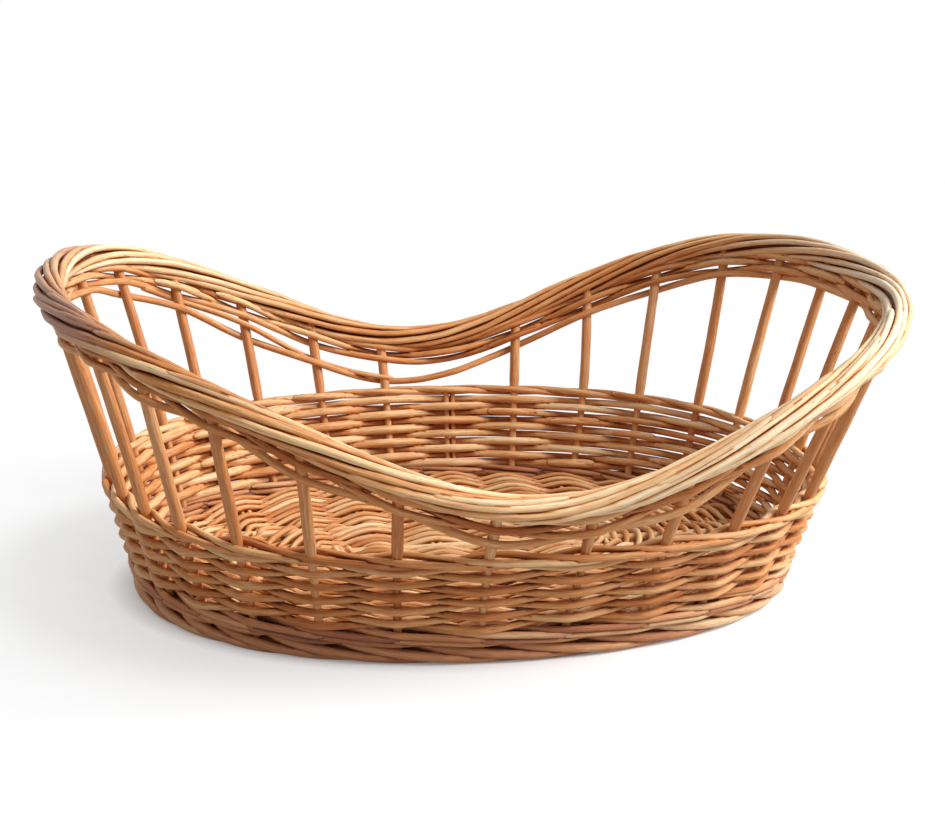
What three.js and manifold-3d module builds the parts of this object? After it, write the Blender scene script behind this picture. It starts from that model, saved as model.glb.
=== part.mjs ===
// Boat-shaped willow gift basket: an oval tray woven round upright stakes, with a rim that sweeps
// up at both ends. Millimetres, +Z up, origin on the ground under the middle, long axis on X.
import * as THREE from "three";
import { mergeVertices } from "three/addons/utils/BufferGeometryUtils.js";
import Module from "manifold-3d";

const wasm = await Module();
wasm.setup();

// Plan of the wall's centre line at the ground, and how it opens on the way up.
const groundHalfLength = 161;
const groundHalfWidth = 105;
const endFlare = 0.295; // outward per millimetre of height, at the ends
const sideFlare = 0.34; // the same at the middle of the sides, near the ground
const sideBow = 1430; // the sides lean out more the higher they go: less makes them curve more
const cornerFullness = 0.028; // how much fuller than an ellipse the plan is

// Rods. Diameters are across the corners of the faceted rods.
const stakeCount = 30;
const shortStakeNumber = 8; // the one at the back that isn't as tall as the others
const frontSpread = 0.07; // how far the front stakes are spread, in radians of plan angle
const stakeDiameter = 5;
const weaverDiameter = 3.3;
const footRodDiameter = 4.6;
const borderRodDiameter = 4.1;
const baseStickDiameter = 4.6;
const rodGap = 0.3; // clear air between neighbouring rods

// Heights and counts.
const rowCount = 10;
const rimLow = 65.7; // underside of the rim weave at the middle of the sides
const rimRise = 67.5; // how much higher it is at the two ends
const looseDrop = 2.5; // how far the loose strand hangs below the rest of the rim weave
const rimFullness = 1.91; // above 1 the rise happens nearer the sides and the ends stay level
const borderRodCount = 5;
const borderTurns = 6; // turns that each border rod makes round the border's core
const footRodCount = 3;
const footTurns = 10;
const footFlat = 0.5; // worn flat under the foot, where the basket stands
const baseThickness = 6;
const baseStickCount = 3;
const baseStickSpacing = 30;
const baseStickProud = 1.4; // how far a stick stands above the floor's weave

const stakeSides = 8;
const thickSides = 6;
const weaverSides = 5;
const stepsPerStake = 2;
const ringSteps = stakeCount * stepsPerStake;

const stakeRadius = stakeDiameter / 2;
const weaverRadius = weaverDiameter / 2;
const footRodRadius = footRodDiameter / 2;
const borderRodRadius = borderRodDiameter / 2;

const tan = new THREE.Color("#b98a55");
const honey = new THREE.Color("#c99b62");
const straw = new THREE.Color("#dcb981");

function willow(colour, shade = 0) {
  return new THREE.MeshStandardMaterial({
    color: colour.clone().offsetHSL(0, 0, shade), roughness: 0.62, metalness: 0 });
}

// Centre line of the wall at plan angle t and height z.
function wallPoint(t, z) {
  const fuller = 1 + cornerFullness * Math.sin(2 * t) ** 2;
  const halfLength = groundHalfLength + endFlare * z;
  const halfWidth = groundHalfWidth + sideFlare * z + (z * z) / sideBow;
  return new THREE.Vector3(
    halfLength * Math.cos(t) * fuller, halfWidth * Math.sin(t) * fuller, z);
}

// The wall's outward normal and its upward direction.
function wallFrame(t, z) {
  const d = 1e-3;
  const along = wallPoint(t + d, z).sub(wallPoint(t - d, z));
  const up = wallPoint(t, z + 1).sub(wallPoint(t, z - 1)).normalize();
  return { out: along.cross(up).normalize(), up };
}

// Plan angles of the sections. A stake stands at every stepsPerStake-th one. Stakes are closest
// together at the ends, where the plan turns tightest, and widest apart along the front.
const angles = Array.from({ length: ringSteps }, (_, i) => {
  const even = (2 * Math.PI * i) / ringSteps;
  return even + frontSpread * Math.sin(2 * even) * Math.min(0, Math.sin(even));
});
const stakeAngle = (i) => angles[i * stepsPerStake];
const endSpacing = (groundHalfWidth * 2 * Math.PI) / stakeCount;

// How far a rod's centre swings off the wall's centre line to pass a stake. The rod runs slanting
// to the middle of the next gap, and the end bends away from it, so it swings a little more.
function swing(radius) {
  const clear = stakeRadius + radius + rodGap;
  const tightest = groundHalfWidth ** 2 / groundHalfLength;
  const half = endSpacing / 2;
  return clear * Math.hypot(1, (clear + half ** 2 / (2 * tightest)) / half);
}
// How far two rods part, each way, where they cross between two stakes.
function crossing(radius) {
  const clear = radius + rodGap / 2;
  const wide = swing(radius);
  return (clear * wide) / Math.sqrt(wide ** 2 - clear ** 2);
}

// A closed rod through the points, with outward directions to orient its section, whose first
// corner lies a share of a side past the outward direction.
function closedRod(points, outs, radius, sides, corner = 0.5) {
  const count = points.length;
  const position = [];
  const index = [];
  for (let i = 0; i < count; i++) {
    const ahead = points[(i + 1) % count].clone().sub(points[(i + count - 1) % count]).normalize();
    const out = outs[i].clone().addScaledVector(ahead, -outs[i].dot(ahead)).normalize();
    const up = out.clone().cross(ahead);
    for (let k = 0; k < sides; k++) {
      const a = ((k + corner) / sides) * 2 * Math.PI;
      const p = points[i].clone().addScaledVector(out, radius * Math.cos(a))
        .addScaledVector(up, radius * Math.sin(a));
      position.push(p.x, p.y, p.z);
      const here = i * sides, next = ((i + 1) % count) * sides, l = (k + 1) % sides;
      index.push(here + k, next + k, here + l, here + l, next + k, next + l);
    }
  }
  return bufferOf(position, index);
}

function bufferOf(position, index) {
  const g = new THREE.BufferGeometry();
  g.setAttribute("position", new THREE.Float32BufferAttribute(position, 3));
  g.setIndex(index);
  g.computeVertexNormals();
  return g;
}

// A rod with flat ends through the points, its section square to the line from end to end.
function openRod(points, radius, sides) {
  const position = [];
  const index = [];
  const last = points.length - 1;
  points.forEach((point, i) => {
    const ahead = points[Math.min(i + 1, last)].clone()
      .sub(points[Math.max(i - 1, 0)]).normalize();
    const side = new THREE.Vector3(-point.y, point.x, 0).normalize();
    side.addScaledVector(ahead, -side.dot(ahead)).normalize();
    const front = side.clone().cross(ahead);
    for (let k = 0; k < sides; k++) {
      const a = ((k + 0.5) / sides) * 2 * Math.PI;
      const p = point.clone().addScaledVector(front, radius * Math.cos(a))
        .addScaledVector(side, radius * Math.sin(a));
      position.push(p.x, p.y, p.z);
    }
  });
  for (let i = 0; i < last; i++)
    for (let k = 0; k < sides; k++) {
      const here = i * sides, next = here + sides, l = (k + 1) % sides;
      index.push(here + k, here + l, next + k, here + l, next + l, next + k);
    }
  for (let k = 1; k < sides - 1; k++) {
    index.push(0, k + 1, k);
    index.push(last * sides, last * sides + k, last * sides + k + 1);
  }
  return bufferOf(position, index);
}

// Where a rod runs: a height for each plan angle, with sideways and upward swings off that line.
// Upward swings are stretched on a slope so that rods keep their distance across it.
function wovenRod(heightAt, swingAt, radius) {
  const points = [];
  const outs = [];
  for (let i = 0; i < ringSteps; i++) {
    const t = angles[i];
    const z = heightAt(t);
    const { out, up } = wallFrame(t, z);
    const { outward, upward } = swingAt(i / stepsPerStake);
    points.push(wallPoint(t, z).addScaledVector(out, outward)
      .addScaledVector(up, upward * slopeStretch(heightAt, t)));
    outs.push(out);
  }
  return closedRod(points, outs, radius, weaverSides);
}

function slopeStretch(heightAt, t) {
  const d = 1e-3;
  const a = wallPoint(t - d, heightAt(t - d));
  const b = wallPoint(t + d, heightAt(t + d));
  return Math.hypot(1, (b.z - a.z) / Math.hypot(b.x - a.x, b.y - a.y));
}

// Weaves. Each gives a rod's swings at a place counted in stakes, a half being between two stakes.
const randing = (phase) => (place) => ({
  outward: swing(weaverRadius) * Math.cos(Math.PI * (place + phase)), upward: 0 });

const pairing = (phase) => (place) => ({
  outward: swing(weaverRadius) * Math.cos(Math.PI * (place + phase)),
  upward: -crossing(weaverRadius) * Math.sin(Math.PI * (place + phase)) });

// Three rods, each passing outside two stakes, high then low, and inside the third.
const walingRise = 1.15 * crossing(weaverRadius);
const waling = (phase) => (place) => {
  const far = swing(weaverRadius);
  const high = walingRise;
  const mid = 1.05 * crossing(weaverRadius);
  const course = [
    [far, high], [far, 0], [far, -high], [0, -mid], [-far, 0], [0, mid]];
  const [outward, upward] = course[Math.round(2 * (place + phase)) % 6];
  return { outward, upward };
};

// Levels, from the ground up: each layer stands on the one below.
const footSwing = (footRodRadius + rodGap / 2) / Math.sin(Math.PI / footRodCount)
  / Math.cos((Math.PI * footTurns) / ringSteps);
const footReach = footSwing + footRodRadius * Math.cos(Math.PI / thickSides);
const footCentre = footReach - footFlat;
const footTop = footCentre + footReach;
const upsettCentre = footTop + rodGap + walingRise + weaverRadius;
const upsettTop = upsettCentre + walingRise + weaverRadius;
const rowPitch = weaverDiameter + 1.3 * rodGap;
const rowHeight = (n) => upsettTop + rodGap + weaverRadius + n * rowPitch;
const pairRise = crossing(weaverRadius) + weaverRadius;
const topPairCentre = rowHeight(rowCount - 1) + weaverRadius + rodGap + pairRise;

// The rim weave follows a line that rises to the ends.
const rimLine = (t) => {
  const endness = Math.cos(t) ** 2;
  return rimLow + rimRise * (rimFullness * endness + (1 - rimFullness) * endness ** 2);
};
const raised = (height) => (t) => rimLine(t) + height * slopeStretch(rimLine, t);
const looseLine = raised(weaverRadius);
const pairLow = weaverDiameter + rodGap + looseDrop;
const rimPairLine = raised(pairLow + pairRise);
const borderSwing = (borderRodRadius + rodGap / 2) / Math.sin(Math.PI / borderRodCount)
  / Math.cos((Math.PI * borderTurns) / ringSteps);
const borderReach = borderSwing + borderRodRadius;
const borderLine = raised(pairLow + 2 * pairRise + rodGap + borderReach);

// A bundle of rods twisted round a core that follows heightAt.
function twistedRod(heightAt, reach, turns, phase, radius) {
  const core = angles.map((t) => wallPoint(t, heightAt(t)));
  const points = [];
  const outs = [];
  core.forEach((point, i) => {
    const ahead = core[(i + 1) % ringSteps].clone()
      .sub(core[(i + ringSteps - 1) % ringSteps]).normalize();
    const flat = new THREE.Vector3(ahead.y, -ahead.x, 0).normalize();
    const up = flat.clone().cross(ahead).normalize();
    const a = 2 * Math.PI * (phase - (turns * i) / ringSteps);
    points.push(point.clone().addScaledVector(flat, reach * Math.cos(a))
      .addScaledVector(up, reach * Math.sin(a)));
    outs.push(flat);
  });
  return closedRod(points, outs, radius, thickSides, 0); // flat above and below
}

function solidOf(geometry) {
  const bare = geometry.index ? geometry.clone() : geometry;
  bare.deleteAttribute("normal");
  bare.deleteAttribute("uv");
  const merged = mergeVertices(bare, 1e-4);
  return new wasm.Manifold(new wasm.Mesh({
    numProp: 3, vertProperties: merged.attributes.position.array,
    triVerts: new Uint32Array(merged.index.array) }));
}

function geometryOf(solid) {
  const m = solid.getMesh();
  return bufferOf(Array.from(m.vertProperties), Array.from(m.triVerts));
}

const basket = new THREE.Group();
function add(name, geometry, material, parent = basket) {
  const mesh = new THREE.Mesh(geometry, material);
  mesh.name = name;
  parent.add(mesh);
}
const numbered = (name, n) => `${name}_${String(n + 1).padStart(2, "0")}`;

// Foot: three rods twisted into a rope, cut flat where they touch the ground.
const ground = new THREE.BoxGeometry(4 * groundHalfLength, 4 * groundHalfWidth, groundHalfWidth)
  .translate(0, 0, -groundHalfWidth / 2);
for (let n = 0; n < footRodCount; n++) {
  const rod = twistedRod(() => footCentre, footSwing, footTurns,
    n / footRodCount + 0.25, footRodRadius);
  add(numbered("foot_rod", n), geometryOf(solidOf(rod).subtract(solidOf(ground))),
    willow(tan, -0.02 * n));
}
// Floor: an oval of weave let in between the stakes, with sticks lying along it. The weave runs
// in rings that pass over and under the sticks and the short ribs that lie across them.
const floorEdge = swing(weaverRadius) + weaverRadius + rodGap;
const floorLow = footTop + rodGap;
const floorHigh = floorLow + baseThickness;
const floorMiddle = (floorLow + floorHigh) / 2;
const floorWave = baseThickness - weaverDiameter;
const turn = 2 * Math.PI;
const stickOffset = (n) => (n - (baseStickCount - 1) / 2) * baseStickSpacing;

// Half length and half width of a ring, counted from the floor's edge inwards.
const ringSize = (ring) => [
  groundHalfLength + endFlare * floorMiddle - floorEdge - ring * weaverDiameter,
  groundHalfWidth + sideFlare * floorMiddle - floorEdge - ring * weaverDiameter];

// Plan angles at which a ring crosses the ribs and the sticks, always an even number of them.
function crossings(ring) {
  const [halfLength, halfWidth] = ringSize(ring);
  const at = [];
  for (let x = baseStickSpacing / 2; x < 0.96 * halfLength; x += baseStickSpacing) {
    const t = Math.acos(x / halfLength);
    at.push(t, Math.PI - t, Math.PI + t, turn - t);
  }
  for (let n = 0; n < baseStickCount; n++) {
    const share = stickOffset(n) / halfWidth;
    if (Math.abs(share) < 0.9)
      at.push((Math.asin(share) + turn) % turn, Math.PI - Math.asin(share));
  }
  return at.sort((a, b) => a - b);
}

// Top of the weave: neighbouring rings pass a rib on opposite sides.
function weaveTop(ring, t) {
  const at = crossings(ring);
  const next = at.filter((a) => a <= t).length;
  const low = next ? at[next - 1] : at[at.length - 1] - turn;
  const high = next < at.length ? at[next] : at[0] + turn;
  const order = next - 1 + (t - low) / (high - low);
  return floorMiddle + weaverRadius + floorWave * Math.cos(Math.PI * (order + ring))
    + 0.2 * floorWave * Math.cos(turn * order);
}

function floorWeave() {
  const rings = Math.floor(ringSize(0)[1] / weaverDiameter - 0.25);
  const position = [];
  const index = [];
  for (let row = 0; row <= rings + 1; row++) // row 0 is the underside's edge
    for (const t of angles) {
      const z = row ? weaveTop(row - 1, t) : floorLow;
      if (row < 2) {
        const level = wallFrame(t, z).out.setZ(0);
        const p = wallPoint(t, z).addScaledVector(level, -floorEdge / level.lengthSq());
        position.push(p.x, p.y, z);
      } else {
        const [halfLength, halfWidth] = ringSize(row - 1);
        const fuller = 1 + cornerFullness * Math.sin(2 * t) ** 2;
        position.push(halfLength * Math.cos(t) * fuller, halfWidth * Math.sin(t) * fuller, z);
      }
    }
  for (let row = 0; row <= rings; row++)
    for (let i = 0; i < ringSteps; i++) {
      const here = row * ringSteps + i, next = row * ringSteps + (i + 1) % ringSteps;
      index.push(here, next, here + ringSteps, here + ringSteps, next, next + ringSteps);
    }
  for (const [first, up] of [[0, false], [(rings + 1) * ringSteps, true]])
    for (let i = 0; i < ringSteps / 2; i++) {
      const a = first + i, b = a + 1;
      const d = first + (ringSteps - i) % ringSteps, c = first + ringSteps - i - 1;
      if (i) index.push(...(up ? [a, b, d] : [a, d, b]));
      if (b !== c) index.push(...(up ? [b, c, d] : [b, d, c]));
    }
  return solidOf(bufferOf(position, index));
}
// A stick along X, or with extra clearance the groove that it lies in.
function baseStick(n, extra) {
  const y = stickOffset(n);
  const edge = groundHalfLength + endFlare * floorLow - floorEdge;
  const side = groundHalfWidth - floorEdge;
  const half = edge * Math.sqrt(1 - (y / side) ** 2) - baseStickDiameter;
  const radius = baseStickDiameter / 2 + extra;
  return { length: 2 * (half + extra), radius, y,
    z: floorHigh + baseStickProud - baseStickDiameter / 2 };
}
const stickGeometry = ({ length, radius, y, z }) =>
  new THREE.CylinderGeometry(radius, radius, length, stakeSides)
    .rotateZ(Math.PI / 2).translate(0, y, z);
const overStick = ({ length, radius, y, z }) =>
  new THREE.BoxGeometry(length, 2 * radius, 2 * baseThickness)
    .translate(0, y, z + baseThickness);
let floor = floorWeave();
for (let n = 0; n < baseStickCount; n++) {
  const groove = baseStick(n, rodGap);
  floor = floor.subtract(solidOf(stickGeometry(groove))).subtract(solidOf(overStick(groove)));
  add(numbered("base_stick", n), stickGeometry(baseStick(n, 0)), willow(honey, 0.02));
}
add("base_weave", geometryOf(floor), willow(straw));

// Stakes: straight rods from the foot, leaning out, to just under the border. One at the back
// ends in the top of the side.
for (let i = 0; i < stakeCount; i++) {
  const t = stakeAngle(i);
  const slope = slopeStretch(borderLine, t);
  const low = footTop + rodGap;
  const high = i === shortStakeNumber - 1 ? topPairCentre + pairRise : borderLine(t)
    - (borderReach + rodGap) * slope - stakeRadius * Math.sqrt(slope ** 2 - 1);
  const points = [0, 0.3, 0.65, 1].map((share) => wallPoint(t, low + share * (high - low)));
  add(numbered("stake", i), openRod(points, stakeRadius, stakeSides), willow(tan, 0.01 * (i % 3)));
}

// Upsett: three-rod wale that locks the stakes above the foot.
for (let n = 0; n < 3; n++)
  add(numbered("upsett_rod", n), wovenRod(() => upsettCentre, waling(n), weaverRadius),
    willow(tan, -0.01 * n));

// Side: rows of randing, neighbours in opposite step.
for (let n = 0; n < rowCount; n++)
  add(numbered("weave_row", n), wovenRod(() => rowHeight(n), randing(n % 2), weaverRadius),
    willow(honey, 0.015 * ((n * 2) % 5) - 0.03));

// Top of the side: two rods twisted round the stakes.
for (let n = 0; n < 2; n++)
  add(numbered("top_pair", n), wovenRod(() => topPairCentre, pairing(n), weaverRadius),
    willow(honey, 0.02 * n));

// Rim weave: one loose strand and a pair, following the rim line.
add("rim_loose_strand", wovenRod(looseLine, randing(0), weaverRadius), willow(tan, -0.02));
for (let n = 0; n < 2; n++)
  add(numbered("rim_pair", n), wovenRod(rimPairLine, pairing(n), weaverRadius), willow(tan, 0.01));

// Border: a slack rope of thick rods.
for (let n = 0; n < borderRodCount; n++)
  add(numbered("border_rod", n), twistedRod(borderLine, borderSwing, borderTurns,
    n / borderRodCount, borderRodRadius), willow(straw, -0.02 * n));

export default basket;
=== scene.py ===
import math
from functools import partial

import bpy
import numpy as np
from mathutils import Matrix, Vector


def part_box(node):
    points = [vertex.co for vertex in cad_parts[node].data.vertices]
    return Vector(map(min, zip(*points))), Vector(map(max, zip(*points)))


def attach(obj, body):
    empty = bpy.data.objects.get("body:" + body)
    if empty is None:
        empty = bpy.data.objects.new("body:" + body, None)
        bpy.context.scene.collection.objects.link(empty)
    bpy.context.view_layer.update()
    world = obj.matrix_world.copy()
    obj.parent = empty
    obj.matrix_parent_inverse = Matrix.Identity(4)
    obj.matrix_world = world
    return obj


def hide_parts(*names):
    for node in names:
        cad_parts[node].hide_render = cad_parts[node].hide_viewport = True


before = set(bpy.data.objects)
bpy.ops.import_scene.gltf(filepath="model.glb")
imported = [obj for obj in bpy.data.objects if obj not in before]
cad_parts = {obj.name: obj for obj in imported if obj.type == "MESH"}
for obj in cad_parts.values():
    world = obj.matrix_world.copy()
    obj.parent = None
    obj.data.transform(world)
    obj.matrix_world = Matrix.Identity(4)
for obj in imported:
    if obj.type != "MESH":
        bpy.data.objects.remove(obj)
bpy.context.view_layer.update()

scene = bpy.context.scene
millimetre = 0.001

basket = {
    "halfLength": 161, "halfWidth": 105,  # of the wall's centre line at the ground
    "endFlare": 0.295, "sideFlare": 0.34, "sideBow": 1430, "cornerFullness": 0.028,
    "stakes": 30, "frontSpread": 0.07,
    "stakeDiameter": 5, "weaverDiameter": 3.3, "footRodDiameter": 4.6, "borderRodDiameter": 4.1,
    "rodGap": 0.3, "rows": 10, "rimLow": 65.7, "rimRise": 67.5, "rimFullness": 1.91,
    "looseDrop": 2.5, "footFlat": 0.5, "footRods": 3, "footTurns": 10, "borderRods": 5,
    "borderTurns": 6, "baseThickness": 6, "baseSticks": 3, "baseStickSpacing": 30,
    "waleRoom": 1.15, "rowRoom": 1.3,  # how loosely the layers lie on each other
}


def linearColour(code):
    channels = [int(code[i:i + 2], 16) / 255 for i in (1, 3, 5)]
    return tuple(c / 12.92 if c <= 0.04045 else ((c + 0.055) / 1.055) ** 2.4
                 for c in channels) + (1,)


def planAngle(place):
    even = 2 * np.pi * np.asarray(place, float) / basket["stakes"]
    return even + basket["frontSpread"] * np.sin(2 * even) * np.minimum(0, np.sin(even))


def wallPoint(t, z):
    t, z = np.broadcast_arrays(np.asarray(t, float), np.asarray(z, float))
    fuller = 1 + basket["cornerFullness"] * np.sin(2 * t) ** 2
    halfLength = basket["halfLength"] + basket["endFlare"] * z
    halfWidth = basket["halfWidth"] + basket["sideFlare"] * z + z * z / basket["sideBow"]
    return np.stack([halfLength * np.cos(t) * fuller, halfWidth * np.sin(t) * fuller, z], -1)


def unit(v):
    return v / np.linalg.norm(v, axis=-1, keepdims=True)


def alongWall(t, z, turn=1e-3):
    return unit(wallPoint(t + turn, z) - wallPoint(t - turn, z))


def wallFrame(t, z):  # outward normal and the way up along the wall
    up = unit(wallPoint(t, z + 1) - wallPoint(t, z - 1))
    return unit(np.cross(alongWall(t, z), up)), up


def onWall(place, z, outward=0, upward=0):
    t = planAngle(place)
    z = np.broadcast_to(np.asarray(z, float), t.shape)
    out, up = wallFrame(t, z)
    outward, upward = np.broadcast_to(outward, t.shape), np.broadcast_to(upward, t.shape)
    return wallPoint(t, z) + out * outward[..., None] + up * upward[..., None]


def stakeSpacing(place, z):
    return np.linalg.norm(onWall(place + 0.5, z) - onWall(place - 0.5, z), axis=-1)


def rimLine(t):
    endness = np.cos(t) ** 2
    full = basket["rimFullness"]
    return basket["rimLow"] + basket["rimRise"] * (full * endness + (1 - full) * endness ** 2)


def slopeStretch(line, t, turn=1e-3):
    d = wallPoint(t + turn, line(t + turn)) - wallPoint(t - turn, line(t - turn))
    return np.hypot(1, d[..., 2] / np.hypot(d[..., 0], d[..., 1]))


def aboveRim(height):  # measured square to the sloping rim
    return lambda place: rimLine(planAngle(place)) + height * slopeStretch(
        rimLine, planAngle(place))


def packedLevels():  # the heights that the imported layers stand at
    gap, weaver = basket["rodGap"], basket["weaverDiameter"] / 2
    clear = basket["stakeDiameter"] / 2 + weaver + gap
    half = basket["halfWidth"] * np.pi / basket["stakes"]
    tightest = basket["halfWidth"] ** 2 / basket["halfLength"]
    swing = clear * math.hypot(1, (clear + half ** 2 / (2 * tightest)) / half)
    apart = weaver + gap / 2
    crossing = apart * swing / math.sqrt(swing ** 2 - apart ** 2)

    def bundleReach(rodDiameter, rods, turns):  # from the middle of twisted rods to their own
        return (rodDiameter / 2 + gap / 2) / math.sin(np.pi / rods) / math.cos(
            np.pi * turns / (2 * basket["stakes"]))

    foot = basket["footRodDiameter"]
    footReach = bundleReach(foot, basket["footRods"], basket["footTurns"]) + foot / 2 * math.cos(
        np.pi / (2 * basket["footRods"]))
    footTop = 2 * footReach - basket["footFlat"]
    upsett = footTop + gap + basket["waleRoom"] * crossing + weaver
    firstRow = upsett + basket["waleRoom"] * crossing + weaver + gap + weaver
    pitch = 2 * weaver + basket["rowRoom"] * gap
    pairRise = crossing + weaver
    topPair = firstRow + (basket["rows"] - 1) * pitch + weaver + gap + pairRise
    pairLow = 2 * weaver + gap + basket["looseDrop"]
    rod = basket["borderRodDiameter"]
    borderReach = bundleReach(rod, basket["borderRods"], basket["borderTurns"]) + rod / 2
    return {"upsett": upsett, "firstRow": firstRow, "pitch": pitch, "topPair": topPair,
            "floor": footTop + gap + basket["baseThickness"] / 2,
            "floorEdge": swing + weaver + gap, "rimPair": pairLow + pairRise,
            "border": pairLow + 2 * pairRise + gap + borderReach}


levels = packedLevels()
borderLine = aboveRim(levels["border"])


def smoothStep(x):
    x = np.clip(x, 0, 1)
    return x * x * (3 - 2 * x)


cutEnd = {"thinnest": 0.42, "roundness": 0.6, "tone": 0.95, "toneShare": 0.5}


def willowRod(points, radius, tone, grey=0.0, cut=(0, 0)):
    # One rod: centre line, radius and tone along it. cut is the length of the slanting cut at
    # the start and the end, in millimetres, or 0 where the end is hidden.
    points = np.asarray(points, float)
    count = len(points)
    steps = np.linalg.norm(np.diff(points, axis=0), axis=1)
    along = np.concatenate([[0], np.cumsum(steps)])
    radius = np.broadcast_to(radius, count).astype(float)
    tone = np.broadcast_to(tone, count).astype(float)
    for length, distance in ((cut[0], along), (cut[1], along[-1] - along)):
        if length:
            share = np.clip(distance / length, 0, 1)
            thin = cutEnd["thinnest"]
            radius *= thin + (1 - thin) * share ** cutEnd["roundness"]
            tone += (cutEnd["tone"] - tone) * cutEnd["toneShare"] * (1 - share)
    return {"points": points, "radius": radius, "tone": tone, "along": along,
            "grey": np.broadcast_to(grey, count).astype(float)}


grainShift = 3.7  # metres from one rod's grain to the next one's, so that no two look alike


def rodBundle(name, rods):  # loose edges that carry each rod's radius, tone with painted light and shade in it, and length along
    mesh = bpy.data.meshes.new(name)
    points = np.concatenate([r["points"] for r in rods]) * millimetre
    edges, start = [], 0
    for rod in rods:
        count = len(rod["points"])
        edges += [(i, i + 1) for i in range(start, start + count - 1)]
        start += count
    mesh.from_pydata(points.tolist(), edges, [])
    layers = {
        "rodRadius": np.concatenate([r["radius"] for r in rods]) * millimetre,
        "rodTone": np.concatenate([r["tone"] for r in rods]),
        "rodGrey": np.concatenate([r["grey"] for r in rods]),
        "rodAlong": np.concatenate([r["along"] * millimetre + grainShift * i
                                    for i, r in enumerate(rods)]),
    }
    for key, values in layers.items():
        layer = mesh.attributes.new(key, "FLOAT", "POINT")
        layer.data.foreach_set("value", values.astype(np.float32))
    piece = bpy.data.objects.new(name, mesh)
    scene.collection.objects.link(piece)
    return piece


def newGroup(name, kind, inputs, outputs):
    # A node group with its sockets, each a kind, a name and mostly a default value, then a way
    # to add nodes to it and the inputs it is given.
    tree = bpy.data.node_groups.new(name, kind)
    for direction, sockets in (("INPUT", inputs), ("OUTPUT", outputs)):
        for socketKind, label, *default in sockets:
            socket = tree.interface.new_socket(name=label, in_out=direction,
                                               socket_type="NodeSocket" + socketKind)
            if default:
                socket.default_value = default[0]
    return tree, partial(addNode, tree), addNode(tree, "NodeGroupInput")


def addNode(tree, kind, inputs=None, **settings):
    # Adds a node with its settings, and its inputs given as values or as sockets to link, and
    # hands back its outputs.
    node = tree.nodes.new(kind)
    for key, value in settings.items():
        setattr(node, key, value)
    for key, value in (inputs or {}).items():
        target = node.inputs[key]
        if isinstance(value, bpy.types.NodeSocket):
            tree.links.new(value, target)
        else:
            target.default_value = value
    return node.outputs


rodSkin = {
    "ownDriftScale": 34.0, "lumpScale": 55.0,  # per metre along a rod
    "creaseLift": 5e-5,
    # tilt of each ray that looks for other rods for the painted crease shade, its weight and its
    # share of creaseReach
    "creaseRays": (((0, 0, 0), 0.45, 1.0), ((0, 0, 0.8), 0.25, 2.5), ((0, 0, -0.8), 0.2, 2.5),
                   ((0.8, 0, 0), 0.15, 2.5), ((-0.8, 0, 0), 0.15, 2.5)),
}


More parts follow.
